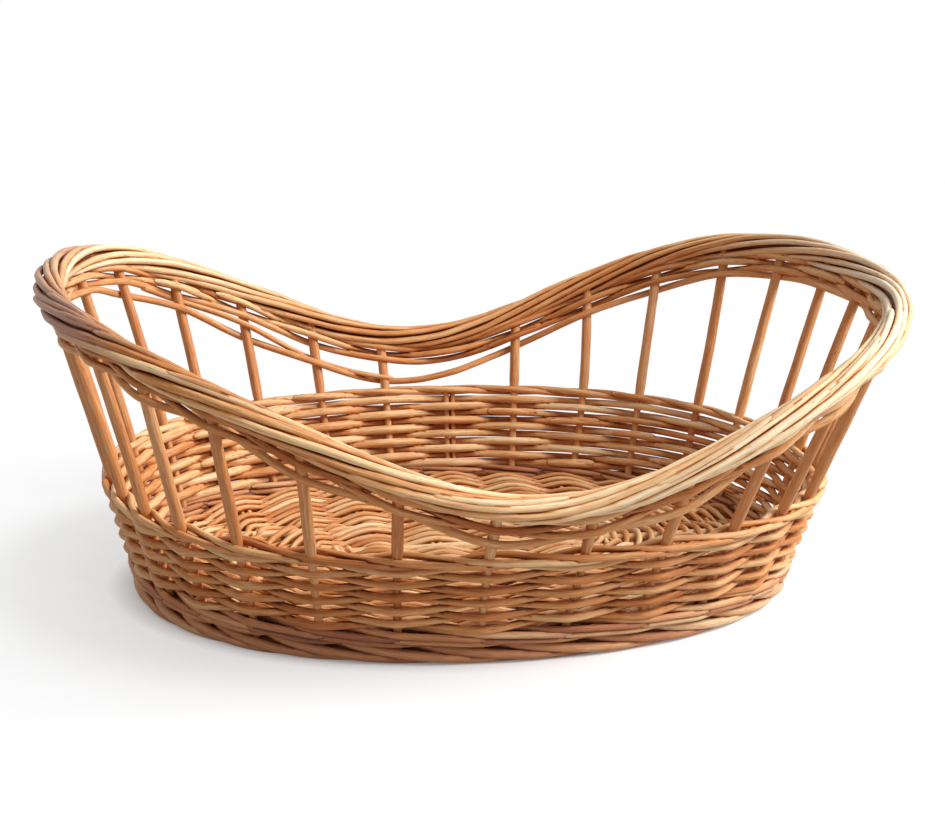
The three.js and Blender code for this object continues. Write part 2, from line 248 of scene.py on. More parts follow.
def willowRodTree():
    # Turns bundles of rod paths into rods: resampled, a little uneven, swept round, capped, with
    # painted shade in the creases.
    tree, add, given = newGroup("willowRods", "GeometryNodeTree", (
        ("Geometry", "Geometry"), ("Float", "step", 0.002), ("Int", "sides", 8),
        ("Float", "waver", 0.0004), ("Float", "waverSize", 0.03), ("Float", "lumps", 0.08),
        ("Float", "crease", 0.65), ("Float", "creaseReach", 0.003), ("Float", "seed", 1.0),
        ("Material", "finish")), (("Geometry", "Geometry"),))

    def layer(name, kind="FLOAT"):
        return add("GeometryNodeInputNamedAttribute", {"Name": name}, data_type=kind)["Attribute"]

    def store(geometry, name, value, kind="FLOAT", domain="POINT"):
        return add("GeometryNodeStoreNamedAttribute", {
            "Geometry": geometry, "Name": name, "Value": value}, data_type=kind,
            domain=domain)["Geometry"]

    def math2(operation, a, b):
        return add("ShaderNodeMath", {0: a, 1: b}, operation=operation)[0]

    def vector2(operation, a, b):
        return add("ShaderNodeVectorMath", {0: a, 1: b}, operation=operation)["Vector"]

    def scaled(vector, size):
        return add("ShaderNodeVectorMath", {0: vector, "Scale": size}, operation="SCALE")["Vector"]

    def noise(inputs, dimensions, output):
        return add("ShaderNodeTexNoise", {**inputs, "Scale": 1.0, "Detail": 1.0},
                   noise_dimensions=dimensions)[output]

    curve = add("GeometryNodeMeshToCurve", {"Mesh": given["Geometry"]})["Curve"]
    curve = add("GeometryNodeResampleCurve", {"Curve": curve, "Length": given["step"]},
                mode="LENGTH")["Curve"]
    # shared drift, so that neighbours keep their distance, and a finer one of each rod's own
    here = add("GeometryNodeInputPosition")[0]
    shared = noise({"Vector": scaled(here, math2("DIVIDE", 1.0, given["waverSize"])),
                    "W": given["seed"]}, "4D", "Color")
    own = noise({"W": math2("MULTIPLY", layer("rodAlong"), rodSkin["ownDriftScale"])}, "1D",
                "Color")
    centred = vector2("SUBTRACT", vector2("ADD", shared, own), (1.0, 1.0, 1.0))
    curve = add("GeometryNodeSetPosition", {
        "Geometry": curve, "Offset": scaled(centred, given["waver"])})["Geometry"]
    lump = noise({"W": math2("MULTIPLY", layer("rodAlong"), rodSkin["lumpScale"])}, "1D", "Fac")
    lump = math2("MULTIPLY", math2("SUBTRACT", lump, 0.5), given["lumps"])
    thickness = math2("MULTIPLY", layer("rodRadius"), math2("ADD", lump, 1.0))
    ring = add("GeometryNodeCurvePrimitiveCircle", {
        "Resolution": given["sides"], "Radius": 1.0})["Curve"]
    ring = store(ring, "ringPlace", add("GeometryNodeInputPosition")[0], "FLOAT_VECTOR")
    mesh = add("GeometryNodeCurveToMesh", {
        "Curve": curve, "Profile Curve": ring, "Scale": thickness, "Fill Caps": True})["Mesh"]
    split = add("ShaderNodeSeparateXYZ", {0: layer("ringPlace", "FLOAT_VECTOR")})
    grain = add("ShaderNodeCombineXYZ", {0: split["X"], 1: split["Y"], 2: layer("rodAlong")})[0]
    mesh = store(mesh, "grainPlace", grain, "FLOAT_VECTOR")
    # painted shade: darker where a rod faces others close by, straight ahead or to a side
    here = add("GeometryNodeInputPosition")[0]
    facing = add("GeometryNodeInputNormal")[0]
    lifted = vector2("ADD", here, vector2("MULTIPLY", facing, (rodSkin["creaseLift"],) * 3))
    near = 0.0
    for tilt, weight, share in rodSkin["creaseRays"]:
        reach = math2("MULTIPLY", given["creaseReach"], share)
        ray = add("GeometryNodeRaycast", {
            "Target Geometry": mesh, "Source Position": lifted,
            "Ray Direction": vector2("ADD", facing, tilt), "Ray Length": reach})
        close = math2("SUBTRACT", 1.0, math2("DIVIDE", ray["Hit Distance"], reach))
        close = math2("MULTIPLY", close, ray["Is Hit"])
        near = math2("ADD", math2("MULTIPLY", close, weight), near)
    near = math2("MULTIPLY", near, given["crease"])
    mesh = store(mesh, "rodTone", math2("SUBTRACT", layer("rodTone"), near))
    corners = add("GeometryNodeInputMeshFaceNeighbors")["Vertex Count"]
    capped = add("FunctionNodeCompare", {2: corners, 3: 5}, data_type="INT",
                 operation="GREATER_THAN")[0]  # only a cut end has so many corners
    mesh = store(mesh, "cutEnd", capped, domain="FACE")
    rounded = add("FunctionNodeBooleanMath", {0: capped}, operation="NOT")[0]
    mesh = add("GeometryNodeSetShadeSmooth", {
        "Geometry": mesh, "Shade Smooth": rounded})["Geometry"]
    mesh = add("GeometryNodeRealizeInstances", {"Geometry": mesh})["Geometry"]
    mesh = add("GeometryNodeSetMaterial", {
        "Geometry": mesh, "Material": given["finish"]})["Geometry"]
    add("NodeGroupOutput", {"Geometry": mesh})
    return tree


rodTree = willowRodTree()


def growRods(name, rods, finish, slot, nodes, **sizes):
    # Runs the tree on a bundle, keeps the result as a plain mesh and lets it stand for its
    # nodes. sizes are named like the tree's sockets.
    piece = rodBundle(name, rods)
    grown = piece.modifiers.new("willowRods", "NODES")
    grown.node_group = rodTree
    sizes["finish"] = finish
    for item in rodTree.interface.items_tree:
        if item.in_out == "INPUT" and item.name in sizes:
            grown[item.identifier] = sizes[item.name]
    depsgraph = bpy.context.evaluated_depsgraph_get()
    made = bpy.data.meshes.new_from_object(piece.evaluated_get(depsgraph),
                                           preserve_all_data_layers=True, depsgraph=depsgraph)
    piece.modifiers.remove(grown)
    piece.data = made
    for spare in ("rodRadius", "ringPlace", "rodAlong"):
        layer = made.attributes.get(spare)
        if layer:
            made.attributes.remove(layer)
    made.name = name
    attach(piece, "root")
    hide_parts(*nodes)
    print(f"{name}: {len(rods)} rods, {len(made.polygons)} faces")


def numbered(stem, count):
    return [f"{stem}_{n + 1:02d}" for n in range(count)]


willowColours = ["#5e2c10", "#a85a26", "#cf8a50", "#ebc491", "#f9e7c8"]  # by tone, 0 to 1
willowGrain = {
    "fibreDetail": 3.0, "fibreRoughness": 0.6,
    "blotchCount": 0.7, "blotchDetail": 2.0, "blotchRoughness": 0.55,
    "eyeCount": 1.6, "eyeLength": 0.011, "eyeMiddle": 0.05, "eyeEdge": 0.2,
}
willowSkin = {
    "greyColour": "#b0948a", "eyeColour": "#6d3f22", "cutColour": "#ecd2a8",
    "eyeStrength": 0.45, "cutStrength": 0.7, "roughness": 0.5, "fibreRoughness": 0.35,
    "blotchHeight": 0.6, "eyeDepth": 0.8, "reliefDepth": 0.0003, "specular": 0.25,
}


def willowGrainGroup():
    # Long fibres, blotches and small eyes on a rod, from its own place attribute.
    tree, add, given = newGroup("willowGrain", "ShaderNodeTree", (
        ("Vector", "Place"), ("Float", "Fibre Length", 0.02), ("Float", "Fibre Count", 6.0),
        ("Float", "Blotch Length", 0.06)),
        (("Float", "Fibres"), ("Float", "Blotches"), ("Float", "Eyes")))
    split = add("ShaderNodeSeparateXYZ", {0: given["Place"]})

    def stretched(count, length):
        parts = {i: add("ShaderNodeMath", {0: split[axis], 1: size}, operation=operation)[0]
                 for i, (axis, size, operation) in enumerate((
                     ("X", count, "MULTIPLY"), ("Y", count, "MULTIPLY"),
                     ("Z", length, "DIVIDE")))}
        return add("ShaderNodeCombineXYZ", parts)[0]

    def noise(count, length, detail, roughness):
        return add("ShaderNodeTexNoise", {
            "Vector": stretched(count, length), "Scale": 1.0, "Detail": detail,
            "Roughness": roughness})["Fac"]

    fibres = noise(given["Fibre Count"], given["Fibre Length"], willowGrain["fibreDetail"],
                   willowGrain["fibreRoughness"])
    blotches = noise(willowGrain["blotchCount"], given["Blotch Length"],
                     willowGrain["blotchDetail"], willowGrain["blotchRoughness"])
    eyes = add("ShaderNodeTexVoronoi", {
        "Vector": stretched(willowGrain["eyeCount"], willowGrain["eyeLength"]),
        "Scale": 1.0, "Randomness": 1.0}, feature="F1")
    spot = add("ShaderNodeMapRange", {
        "Value": eyes["Distance"], "From Min": willowGrain["eyeMiddle"],
        "From Max": willowGrain["eyeEdge"], "To Min": 1.0, "To Max": 0.0})
    add("NodeGroupOutput", {"Fibres": fibres, "Blotches": blotches, "Eyes": spot["Result"]})
    return tree


def willowToneGroup():
    # Colour and roughness of peeled willow for a tone, with the grain's masks worked in.
    tree, add, given = newGroup("willowTone", "ShaderNodeTree", (
        ("Float", "Tone", 0.5), ("Float", "Grey", 0.0), ("Float", "Fibres", 0.5),
        ("Float", "Blotches", 0.5), ("Float", "Eyes", 0.0), ("Float", "Cut End", 0.0),
        ("Float", "Fibre Strength", 0.25), ("Float", "Blotch Strength", 0.5)),
        (("Color", "Color"), ("Float", "Roughness"), ("Float", "Height")))

    def calc(operation, a, b):
        return add("ShaderNodeMath", {0: a, 1: b}, operation=operation)[0]

    def shift(mask, strength):
        return calc("MULTIPLY", calc("SUBTRACT", mask, 0.5), strength)

    def mixed(share, below, above):
        return add("ShaderNodeMix", {0: share, 6: below, 7: linearColour(above)},
                   data_type="RGBA")[2]

    tone = calc("ADD", given["Tone"], shift(given["Blotches"], given["Blotch Strength"]))
    tone = calc("ADD", tone, shift(given["Fibres"], given["Fibre Strength"]))
    ramp = add("ShaderNodeValToRGB", {"Fac": tone})["Color"]
    stops = ramp.node.color_ramp.elements
    while len(stops) < len(willowColours):
        stops.new(0.5)
    for i, code in enumerate(willowColours):
        stops[i].position = i / (len(willowColours) - 1)
        stops[i].color = linearColour(code)
    colour = mixed(given["Grey"], ramp, willowSkin["greyColour"])
    colour = mixed(calc("MULTIPLY", given["Eyes"], willowSkin["eyeStrength"]), colour,
                   willowSkin["eyeColour"])
    colour = mixed(calc("MULTIPLY", given["Cut End"], willowSkin["cutStrength"]), colour,
                   willowSkin["cutColour"])
    rough = calc("ADD", willowSkin["roughness"], shift(given["Fibres"],
                                                       willowSkin["fibreRoughness"]))
    height = calc("ADD", given["Fibres"], calc("MULTIPLY", given["Blotches"],
                                               willowSkin["blotchHeight"]))
    height = calc("SUBTRACT", height, calc("MULTIPLY", given["Eyes"], willowSkin["eyeDepth"]))
    add("NodeGroupOutput", {"Color": colour, "Roughness": rough, "Height": height})
    return tree


grainGroup = willowGrainGroup()
toneGroup = willowToneGroup()


def newTree(owner):
    owner.use_nodes = True
    owner.node_tree.nodes.clear()
    return partial(addNode, owner.node_tree)


def willowFinish(name, fibreLength=0.009, fibreCount=3.2, blotchLength=0.05,
                 fibreStrength=0.55, blotchStrength=0.5, bump=0.7):
    finish = bpy.data.materials.new(name)
    add = newTree(finish)

    def layer(key, output="Fac"):
        return add("ShaderNodeAttribute", attribute_name=key, attribute_type="GEOMETRY")[output]

    grain = add("ShaderNodeGroup", {
        "Place": layer("grainPlace", "Vector"), "Fibre Length": fibreLength,
        "Fibre Count": fibreCount, "Blotch Length": blotchLength}, node_tree=grainGroup)
    skin = add("ShaderNodeGroup", {
        "Tone": layer("rodTone"), "Grey": layer("rodGrey"), "Cut End": layer("cutEnd"),
        "Fibres": grain["Fibres"], "Blotches": grain["Blotches"], "Eyes": grain["Eyes"],
        "Fibre Strength": fibreStrength, "Blotch Strength": blotchStrength},
        node_tree=toneGroup)
    relief = add("ShaderNodeBump", {
        "Strength": bump, "Distance": willowSkin["reliefDepth"], "Height": skin["Height"]})
    surface = add("ShaderNodeBsdfPrincipled", {
        "Base Color": skin["Color"], "Roughness": skin["Roughness"],
        "Specular IOR Level": willowSkin["specular"], "Normal": relief["Normal"]})
    add("ShaderNodeOutputMaterial", {"Surface": surface["BSDF"]})
    return finish


weaverFinish = willowFinish("willowWeaver")
stakeFinish = willowFinish("willowStake", fibreLength=0.014, blotchLength=0.09,
                           blotchStrength=0.4)
borderFinish = willowFinish("willowBorder", fibreLength=0.012, fibreCount=3.0,
                            blotchLength=0.07, blotchStrength=0.6)
footFinish = willowFinish("willowFoot")
floorFinish = willowFinish("willowFloor", blotchLength=0.04)
print("finishes ready")


view = {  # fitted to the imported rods: millimetres, degrees and pixels of the photo
    "distance": 994.05, "elevation": 17.541, "azimuth": -14.155, "roll": 2.18, "focal": 1987.8,
    "aimX": -5.23, "aimZ": 87.79, "centreX": 461.81, "centreY": 407.7,
    "width": 945, "height": 816, "sensor": 36,
}


def placeCamera():
    e, az = math.radians(view["elevation"]), math.radians(view["azimuth"])
    back = Vector((math.sin(az) * math.cos(e), -math.cos(az) * math.cos(e), math.sin(e)))
    aim = Vector((view["aimX"] * math.cos(az), view["aimX"] * math.sin(az), view["aimZ"]))
    right = (-back).cross(Vector((0, 0, 1))).normalized()
    up = right.cross(-back)
    r = math.radians(view["roll"])
    right, up = right * math.cos(r) + up * math.sin(r), up * math.cos(r) - right * math.sin(r)
    lens = bpy.data.cameras.new("photoCamera")
    lens.sensor_fit = "HORIZONTAL"
    lens.sensor_width = view["sensor"]
    lens.lens = view["focal"] * view["sensor"] / view["width"]
    lens.shift_x = (view["width"] / 2 - view["centreX"]) / view["width"]
    lens.shift_y = (view["centreY"] - view["height"] / 2) / view["width"]
    lens.clip_start, lens.clip_end = 0.01, 20
    camera = bpy.data.objects.new("photoCamera", lens)
    camera.matrix_world = Matrix.Translation(
        (aim + back * view["distance"]) * millimetre) @ Matrix(
            (right, up, back)).transposed().to_4x4()
    scene.collection.objects.link(camera)
    scene.camera = camera


placeCamera()

studio = {
    "keyPower": 75, "keySize": 1.3, "keyFrom": (1.75, -0.6, 1.6), "ambient": 0.49,
    "floorHalf": 4.0, "floorSeen": 0.95, "floorBounce": 0.5,
    # the floor turns white with the distance from the middle
    "whiteLeast": 0.6, "whiteFrom": 0.17, "whiteFull": 0.35,
    # the oval under the basket, where the floor has no glow of its own
    "underLength": 0.168, "underWidth": 0.112, "underFrom": 0.95, "underTo": 1.08,
}


def seenByCamera(add):  # 1 for what the camera sees, also by way of a mirror or glass
    rays = add("ShaderNodeLightPath")
    seen = rays["Is Camera Ray"]
    for other in ("Is Glossy Ray", "Is Transmission Ray"):
        seen = add("ShaderNodeMath", {0: seen, 1: rays[other]}, operation="MAXIMUM")[0]
    return seen


def hangWindow():
    lamp = bpy.data.lights.new("softWindow", "AREA")
    lamp.shape, lamp.size, lamp.energy = "DISK", studio["keySize"], studio["keyPower"]
    key = bpy.data.objects.new("softWindow", lamp)
    key.location = studio["keyFrom"]
    key.rotation_euler = (-Vector(studio["keyFrom"])).to_track_quat("-Z", "Y").to_euler()
    scene.collection.objects.link(key)


def fillAir():
    scene.world = bpy.data.worlds.new("studioAir")
    add = newTree(scene.world)
    air, white = (add("ShaderNodeBackground", {"Color": (1, 1, 1, 1), "Strength": s})[0]
                  for s in (studio["ambient"], 1.0))
    mix = add("ShaderNodeMixShader", {0: seenByCamera(add), 1: air, 2: white})
    add("ShaderNodeOutputWorld", {"Surface": mix[0]})


def layStudioFloor():
    mesh = bpy.data.meshes.new("studioFloor")
    s = studio["floorHalf"]
    mesh.from_pydata([(-s, -s, 0), (s, -s, 0), (s, s, 0), (-s, s, 0)], [], [(0, 1, 2, 3)])
    floor = bpy.data.objects.new("studioFloor", mesh)
    scene.collection.objects.link(floor)
    paper = bpy.data.materials.new("studioPaper")
    add = newTree(paper)
    seen = seenByCamera(add)
    where = add("ShaderNodeTexCoord")["Object"]

    def length(vector):
        return add("ShaderNodeVectorMath", {0: vector}, operation="LENGTH")["Value"]

    def both(a, b):
        return add("ShaderNodeMath", {0: a, 1: b}, operation="MULTIPLY")[0]

    def matt(tint):
        return add("ShaderNodeBsdfDiffuse", {"Color": (tint, tint, tint, 1)})[0]

    far = add("ShaderNodeMapRange", {
        "Value": length(where), "From Min": studio["whiteFrom"],
        "From Max": studio["whiteFull"], "To Min": studio["whiteLeast"], "To Max": 1.0},
        interpolation_type="SMOOTHSTEP")["Result"]
    oval = add("ShaderNodeVectorMath", {
        0: where, 1: (studio["underLength"], studio["underWidth"], 1.0)},
        operation="DIVIDE")["Vector"]
    clear = add("ShaderNodeMapRange", {
        "Value": length(oval), "From Min": studio["underFrom"],
        "From Max": studio["underTo"]})["Result"]
    paperSeen = add("ShaderNodeMixShader", {
        0: seen, 1: matt(studio["floorBounce"]), 2: matt(studio["floorSeen"])})[0]
    white = add("ShaderNodeEmission", {"Color": (1, 1, 1, 1), "Strength": 1.0})[0]
    mix = add("ShaderNodeMixShader", {
        0: both(seen, both(far, clear)), 1: paperSeen, 2: white})
    add("ShaderNodeOutputMaterial", {"Surface": mix[0]})
    mesh.materials.append(paper)


hangWindow()
fillAir()
layStudioFloor()
scene.view_settings.view_transform = "Standard"
print("camera, light and floor ready")


def wrapRound(where, z, parity, settings, steepest=0.95):
    # Swing of a weaver that passes outside one stake and inside the next. It runs straight
    # between stakes and bends round each one.
    reach, straightness = settings["reach"], settings["straightness"]
    spacing = stakeSpacing(where, z)
    near = np.round(where)
    side = np.cos(np.pi * (near + parity))
    u, half = np.abs(where - near) * spacing, spacing / 2
    slant = np.arcsin(np.minimum(steepest, reach / half))
    bent = np.where(u < reach * np.sin(slant), np.sqrt(np.maximum(0, reach ** 2 - u ** 2)),
                    (half - u) * np.tan(slant)) * side
    return straightness * bent + (1 - straightness) * reach * np.cos(np.pi * (where + parity))


def throughCourse(where, course):
    # Smooth path through (outward, upward) stations half a stake apart, repeating.
    course = np.asarray(course, float)
    x = np.asarray(where) * 2
    i = np.floor(x).astype(int)
    f = (x - i)[:, None]
    p0, p1, p2, p3 = (course[(i + k) % len(course)] for k in (-1, 0, 1, 2))
    path = 0.5 * (2 * p1 + (p2 - p0) * f + (2 * p0 - 5 * p1 + 4 * p2 - p3) * f ** 2
                  + (3 * p1 - p0 - 3 * p2 + p3) * f ** 3)
    return path[:, 0], path[:, 1]


palerAt = (-0.5, math.pi - 0.5, 0.8)  # right-hand front, back left and behind on the right, where light is painted in as paler tone


def paler(where, shares):  # extra tone as painted light, or thickness, in those three directions
    t = planAngle(where)
    return sum(share * np.maximum(0, np.cos(t - middle)) ** 2
               for share, middle in zip(shares, palerAt))


def drift(where, wave, number):  # wave: its size, its pace along a rod and from rod to rod
    size, pace, shift = wave
    return size * np.sin(where * pace + number * shift)


def drawTone(rng, settings, darkest=0.12, palest=0.98):
    return np.clip(rng.normal(settings["tone"], settings["toneSpread"]), darkest, palest)


def tapered(settings, count):
    return np.linspace(settings["butt"], settings["tip"], count)


ringPlaces = np.linspace(0, basket["stakes"] + 0.2, 300)


def innerRing(height, radius, tone):  # fills a band's middle and only shows in the gaps, dark as painted shade
    return willowRod(onWall(ringPlaces, height), radius, tone)


weaver = {  # what the side, the wales and the rim's weave share
    "straightness": 0.7, "stepsPerStake": 14, "overlap": 0.4, "cut": (3, 3), "lift": 0.0,
    "wave": (0, 0, 0), "toneSpread": 0.07, "grey": 0.0,
}


def weaverRods(rng, settings, number, start, lengths, path):
    # Rods that follow one another once round and overlap. Along one, path gives its height,
    # the way outward and upward and a factor for its thickness.
    overlap, rods = settings["overlap"], []
    for length in lengths:
        end = start + length
        where = np.linspace(start - overlap, end + overlap,
                            int((length + 2 * overlap) * settings["stepsPerStake"]))
        z, outward, upward, thicker = path(where)
        outward = outward - settings["tuck"] * smoothStep(
            (where - end + overlap) / (2 * overlap))
        upward = upward + drift(where, settings["wave"], number) + settings[
            "lift"] * smoothStep((start + overlap - where) / (2 * overlap))
        tone = drawTone(rng, settings) + drift(where, settings["toneWave"], number)
        # the tone is paler in the settings' directions: painted light
        rods.append(willowRod(onWall(where, z, outward, upward),
                              tapered(settings, len(where)) * thicker,
                              tone + paler(where, settings["paler"]), settings["grey"],
                              settings["cut"]))
        start = end
    return rods


sideWeave = {
    **weaver, "reach": 3.4, "straightness": 0.72, "lengths": (14, 16), "butt": 2.35,
    "tip": 2.1, "tuck": 2.2, "lift": 0.6, "wave": (0.35, 1.7, 2.1), "tone": 0.52,
    "toneWave": (0.05, 0.9, 1.0), "paler": (0.08, 0.1, 0.12), "seed": 11,
    # shares of the thickness, and directions in degrees: fuller at the back left, thinner
    # opposite, and with slits behind on the right and at the front
    "fuller": 0.14, "thinner": 0.07, "fullerAt": 130,
    "openBehind": (0, 0, 0.11), "openFront": 0.13, "openFrontAt": -110,
}


def sideThickness(where):
    t = planAngle(where)
    turned = np.cos(t - math.radians(sideWeave["fullerAt"]))
    thick = 1 + np.where(turned > 0, sideWeave["fuller"], sideWeave["thinner"]) * turned
    turned = np.maximum(0, np.cos(t - math.radians(sideWeave["openFrontAt"])))
    return thick * (1 - paler(where, sideWeave["openBehind"])) * (
        1 - sideWeave["openFront"] * turned ** 2)


def weaveSide():
    rng = np.random.default_rng(sideWeave["seed"])
    rods = []
    for row in range(basket["rows"]):
        z = levels["firstRow"] + row * levels["pitch"]
        # joints rest inside a stake
        first = int(rng.integers(0, basket["stakes"] // 2)) * 2 + 1 - row % 2
        lengths = sideWeave["lengths"][::1 if rng.random() < 0.5 else -1]
        rods += weaverRods(rng, sideWeave, row, first, lengths, lambda where: (
            z, wrapRound(where, z, row % 2, sideWeave), 0, sideThickness(where)))
    growRods("sideWeave", rods, weaverFinish, "willow_weaver",
             numbered("weave_row", basket["rows"]), seed=2.0)


# outward and upward at each half stake, as shares of a band's reach and rise
waleCourse = ((1, 1), (1.06, 0.1), (1, -1), (0.1, -1), (-1, -0.1), (0.1, 1))


def waleBand(name, height, settings, nodes):
    # Three rods to a round, each outside two stakes, high then low, and inside the third.
    rng = np.random.default_rng(settings["seed"])
    course = np.array(waleCourse) * (settings["reach"], settings["rise"])
    rods = []
    for layer, strand in [(n, s) for n in settings["rounds"] for s in range(3)]:

        def path(where):
            outward, upward = throughCourse(where + strand, course)
            return height, outward, upward + layer, 1

        first = int(rng.integers(0, basket["stakes"] // 3)) * 3 + 2 - strand
        rods += weaverRods(rng, settings, strand, first, settings["lengths"], path)
    for level in settings["coreHeights"]:
        rods.append(innerRing(level, settings["coreRadius"], settings["coreShadeTone"]))
    growRods(name, rods, weaverFinish, "willow_weaver", nodes, seed=settings["seed"])


upsettWale = {
    **weaver, "reach": 3.6, "rise": 1.2, "rounds": (-0.9, 2.1), "lengths": (15, 15),
    "overlap": 0.45, "stepsPerStake": 12, "butt": 1.75, "tip": 1.5, "tuck": 2.0, "tone": 0.38,
    "toneWave": (0.05, 0.8, 1.0), "paler": (0.2, 0.16, 0.0), "grey": 0.15, "seed": 21,
    "coreHeights": (11.2, 13.6), "coreRadius": 2.1, "coreShadeTone": 0.12,
}
topWale = {
    **upsettWale, "reach": 3.4, "rise": 1.0, "rounds": (-0.8,), "butt": 1.8, "tip": 1.6,
    "tone": 0.46, "paler": (0.16, 0.18, 0.05), "grey": 0.0, "seed": 32, "coreHeights": (),
}

weaveSide()
waleBand("upsettWale", levels["upsett"], upsettWale, numbered("upsett_rod", 3))
waleBand("topWale", levels["topPair"], topWale, numbered("top_pair", 2))

# the rim's weave hangs lower at the front, right of the middle: millimetres at the lowest
# place, for its rods, between them and for the loose strand
frontSag = {"at": -1.31, "narrowness": 6, "weave": 1.4, "spread": 0.9, "strand": 4.2}
rimWale = {
    **weaver, "rows": 3, "apart": 3.0, "raised": 1.0, "reach": 3.1, "lengths": (10, 12, 8),
    "butt": 1.95, "tip": 1.7, "fuller": (0.28, 0, 0), "tuck": 1.8, "lift": 0.7,
    "wave": (0.3, 1.3, 2.0), "cut": (4, 4), "tone": 0.42, "toneWave": (0.05, 1.0, 0.0),
    "paler": (0.3, 0.26, 0.0), "seed": 43,
}


def frontLobe(place):
    return np.maximum(0, np.cos(planAngle(place) - frontSag["at"])) ** frontSag["narrowness"]


def weaveRim():
    # Rows packed close under the border, with slits beside the stakes.
    rng = np.random.default_rng(rimWale["seed"])
    rods = []
    for row in range(rimWale["rows"]):
        above = row - (rimWale["rows"] - 1) / 2
        height = aboveRim(levels["rimPair"] + rimWale["raised"] + rimWale["apart"] * above)

        def path(where):
            z = height(where) - frontLobe(where) * (
                frontSag["weave"] - frontSag["spread"] * above)
            return z, wrapRound(where, z, 1 - row % 2, rimWale), 0, 1 + paler(
                where, rimWale["fuller"])

        first = int(rng.integers(0, basket["stakes"] // 2)) * 2 + row % 2
        rods += weaverRods(rng, rimWale, row, first, rimWale["lengths"], path)
    growRods("rimWale", rods, weaverFinish, "willow_weaver", numbered("rim_pair", 2), seed=43.0)


weaveRim()

looseStrand = {
    "from": 20.6, "to": 51.4, "steps": 430, "reach": 3.3, "straightness": 0.3, "close": 3.2,
    "butt": 2.1, "tip": 1.8, "tone": 0.52, "paler": (0.12, 0, 0), "cut": (4, 4),
    # how far it sags at the back, by places, in millimetres
    "drops": ((5.9, 0), (6.6, 3.6), (7.4, 8.0), (9, 8.2), (10, 7.2), (11, 5.4), (12, 2.0),
              (12.8, 0)),
}
slippedTip = {  # has slipped out of the weave at the back and runs down to the strand
    "from": 7.85, "to": 11.6, "steps": 60, "reach": 3.1, "outsideAt": 9, "butt": 1.3,
    "tip": 1.8, "top": 5.4, "fall": 9.0, "fallsFrom": 11.4, "fallsOver": 3.4, "tone": 0.6,
    "cut": (3, 0),
}


def strandDrop(where):  # rounded by the mean of three places
    places, drops = np.array(looseStrand["drops"]).T
    around = np.mod(where, basket["stakes"])
    return sum(np.interp(around + shift, places, drops, left=0, right=0)
               for shift in (-0.5, 0, 0.5)) / 3


def hangLoose():
    lowest = aboveRim(basket["weaverDiameter"] / 2)
    where = np.linspace(looseStrand["from"], looseStrand["to"], looseStrand["steps"])
    z = lowest(where)
    upward = looseStrand["close"] - strandDrop(where) - frontSag["strand"] * frontLobe(where)
    # the strand is paler at the front on the right: painted light
    rods = [willowRod(onWall(where, z, wrapRound(where, z, 0, looseStrand), upward),
                      tapered(looseStrand, len(where)),
                      looseStrand["tone"] + paler(where, looseStrand["paler"]),
                      cut=looseStrand["cut"])]
    where = np.linspace(slippedTip["from"], slippedTip["to"], slippedTip["steps"])
    out = slippedTip["reach"] * np.cos(np.pi * (where - slippedTip["outsideAt"]))
    upward = slippedTip["top"] - slippedTip["fall"] * smoothStep(
        (slippedTip["fallsFrom"] - where) / slippedTip["fallsOver"])
    rods.append(willowRod(onWall(where, lowest(where), out, upward),
                          tapered(slippedTip, len(where)), slippedTip["tone"],
                          cut=slippedTip["cut"]))
    growRods("looseStrand", rods, weaverFinish, "willow_weaver", ["rim_loose_strand"],
             waver=0.0002, lumps=0.04, seed=5.0)


hangLoose()

stakes = {
    "butt": 1.95, "tip": 2.8, "narrowing": 0.25, "bow": 0.8, "steps": 40, "from": 7,
    # squeezed where it is woven in, by millimetres from the top of the side
    "openFrom": -6, "openOver": 12, "tone": 0.5, "toneSpread": 0.06, "grey": 0.06, "seed": 52,
    # two thin ones that end in the top of the side
    "short": 7, "shortRadius": 1.45, "shortApart": 3.4, "shortLevel": 30, "shortAbove": 1.0,
    "shortToneApart": 0.1, "shortCut": (0, 2),
}


def standStakes():
    rng = np.random.default_rng(stakes["seed"])
    share = np.linspace(0, 1, stakes["steps"])
    rods = []
    for i in range(basket["stakes"]):
        t = planAngle(i)
        short = i == stakes["short"]
        high = levels["topPair"] + stakes["shortAbove"] if short else borderLine(i)
        z = stakes["from"] + share * (high - stakes["from"])
        points = wallPoint(t, z)
        bend = np.sin(np.pi * share)[:, None] * rng.normal(0, stakes["bow"], 3) * (1, 1, 0)
        open_ = smoothStep((z - levels["topPair"] - stakes["openFrom"]) / stakes["openOver"])
        radius = stakes["butt"] + (stakes["tip"] - stakes["butt"]) * open_ - stakes[
            "narrowing"] * share ** 3
        tone = drawTone(rng, stakes)
        if short:
            beside = alongWall(t, stakes["shortLevel"], 0.01)
            for side in (-0.5, 0.5):
                rods.append(willowRod(points + beside * side * stakes["shortApart"],
                                      stakes["shortRadius"],
                                      tone + stakes["shortToneApart"] * side,
                                      cut=stakes["shortCut"]))
        else:
            rods.append(willowRod(points + bend, radius, tone, stakes["grey"]))
    growRods("uprightStakes", rods, stakeFinish, "willow_stake",
             numbered("stake", basket["stakes"]), step=0.003, sides=12, waver=0.0003,
             lumps=0.06, seed=6.0)


standStakes()

